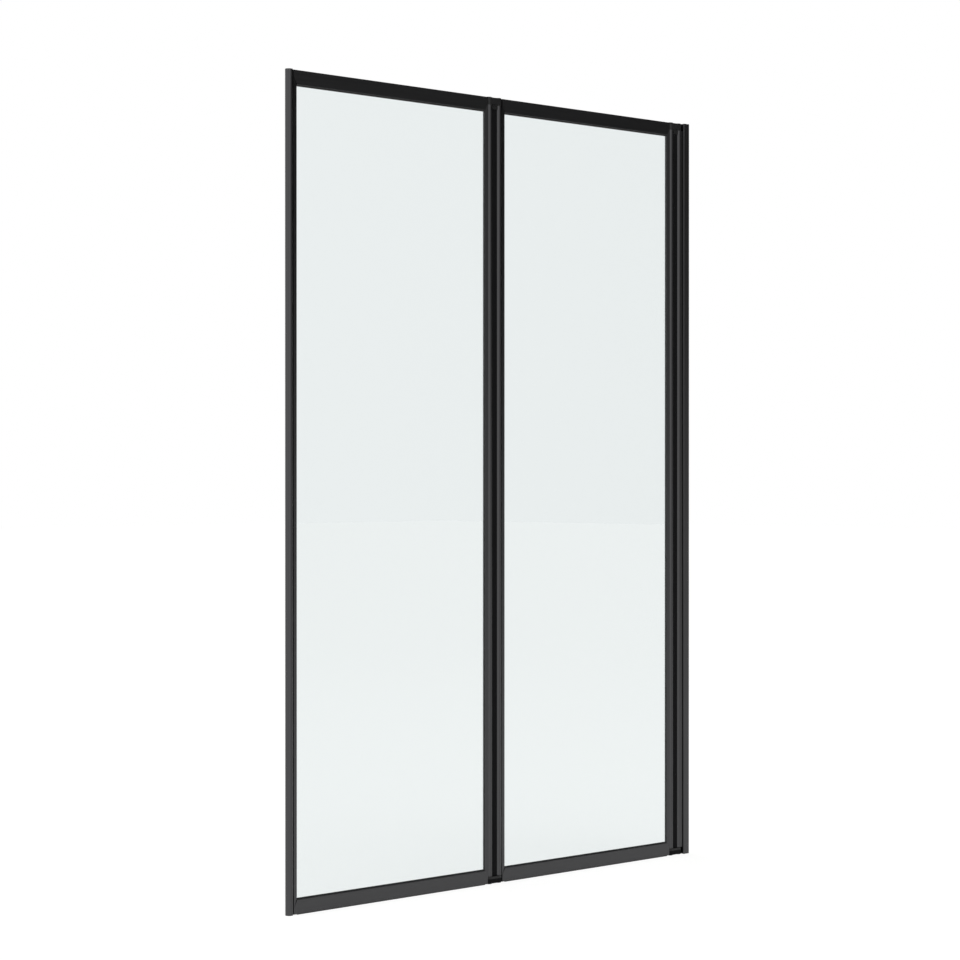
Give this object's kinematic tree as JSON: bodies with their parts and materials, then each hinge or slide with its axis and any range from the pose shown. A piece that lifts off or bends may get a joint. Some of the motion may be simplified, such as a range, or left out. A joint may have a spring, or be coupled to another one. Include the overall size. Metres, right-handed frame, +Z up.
{
  "type": "shower screen",
  "caption": "Framed glass bath and shower screen: two glazed panels on double hinges fold flat and swing on a channel fixed to the wall.",
  "frame": {"origin": "bottom end of the wall channel, in the middle of its back face, where the wall meets the bath's rim", "axes": "+X into the wall, +Y away from the pictured side, +Z up along the hinge pins"},
  "size_m": [1.04, 0.0198, 1.4],
  "materials": {
    "black_aluminium": "satin black anodised",
    "black_casting": "satin black",
    "black_nylon": "matt black, moulded",
    "black_rubber": "matt",
    "black_steel": "blackened",
    "steel_screw": "zinc plated",
    "clear_glass": "clear toughened, faintly green"
  },
  "bodies": {
    "wall_fixing": {"channel_bottom_cap": "black_nylon", "channel_top_cap": "black_nylon", "post_bottom_bush": "black_nylon", "post_screw_caps": "black_nylon", "post_screws": "steel_screw", "post_top_bush": "black_nylon", "wall_channel": "black_aluminium", "wall_post": "black_aluminium"},
    "wall_link": {"wall_hinge_bottom_cover": "black_nylon", "wall_hinge_bottom_link": "black_casting", "wall_hinge_bottom_pins": "black_steel", "wall_hinge_column": "black_nylon", "wall_hinge_column_screws": "steel_screw", "wall_hinge_top_link": "black_casting", "wall_hinge_top_pins": "black_steel"},
    "inner_panel": {"inner_bottom_fold_corner_block": "black_nylon", "inner_bottom_gasket": "black_rubber", "inner_bottom_rail": "black_aluminium", "inner_bottom_seal": "black_rubber", "inner_bottom_wall_corner_block": "black_nylon", "inner_corner_screws": "steel_screw", "inner_fold_gasket": "black_rubber", "inner_fold_stile": "black_aluminium", "inner_glass": "clear_glass", "inner_top_fold_corner_block": "black_nylon", "inner_top_gasket": "black_rubber", "inner_top_rail": "black_aluminium", "inner_top_wall_corner_block": "black_nylon", "inner_wall_gasket": "black_rubber", "inner_wall_stile": "black_aluminium"},
    "fold_link": {"fold_hinge_bottom_cover": "black_nylon", "fold_hinge_bottom_link": "black_casting", "fold_hinge_bottom_pins": "black_steel", "fold_hinge_column": "black_nylon", "fold_hinge_column_screws": "steel_screw", "fold_hinge_top_link": "black_casting", "fold_hinge_top_pins": "black_steel"},
    "outer_panel": {"free_edge_bottom_cap": "black_nylon", "free_edge_top_cap": "black_nylon", "outer_bottom_fold_corner_block": "black_nylon", "outer_bottom_free_corner_block": "black_nylon", "outer_bottom_gasket": "black_rubber", "outer_bottom_rail": "black_aluminium", "outer_bottom_seal": "black_rubber", "outer_corner_screws": "steel_screw", "outer_fold_gasket": "black_rubber", "outer_fold_stile": "black_aluminium", "outer_free_gasket": "black_rubber", "outer_free_stile": "black_aluminium", "outer_glass": "clear_glass", "outer_top_fold_corner_block": "black_nylon", "outer_top_free_corner_block": "black_nylon", "outer_top_gasket": "black_rubber", "outer_top_rail": "black_aluminium"}
  },
  "joints": [
    {"name": "inner_panel_swing", "type": "hinge", "parent": "wall_link", "child": "inner_panel", "pos_m": [-0.047, 0, 0.7], "axis": [0, 0, 1], "range_deg": [-45, 45]},
    {"name": "wall_link_swing", "type": "hinge", "parent": "wall_fixing", "child": "wall_link", "pos_m": [-0.023, 0, 0.7], "axis": [0, 0, 1], "range_deg": [-45, 45]},
    {"name": "outer_panel_fold", "type": "hinge", "parent": "fold_link", "child": "outer_panel", "pos_m": [-0.55225, 0, 0.7], "axis": [0, 0, 1], "range_deg": [-90, 90]},
    {"name": "fold_link_fold", "type": "hinge", "parent": "inner_panel", "child": "fold_link", "pos_m": [-0.52825, 0, 0.7], "axis": [0, 0, 1], "range_deg": [-90, 90]}
  ]
}
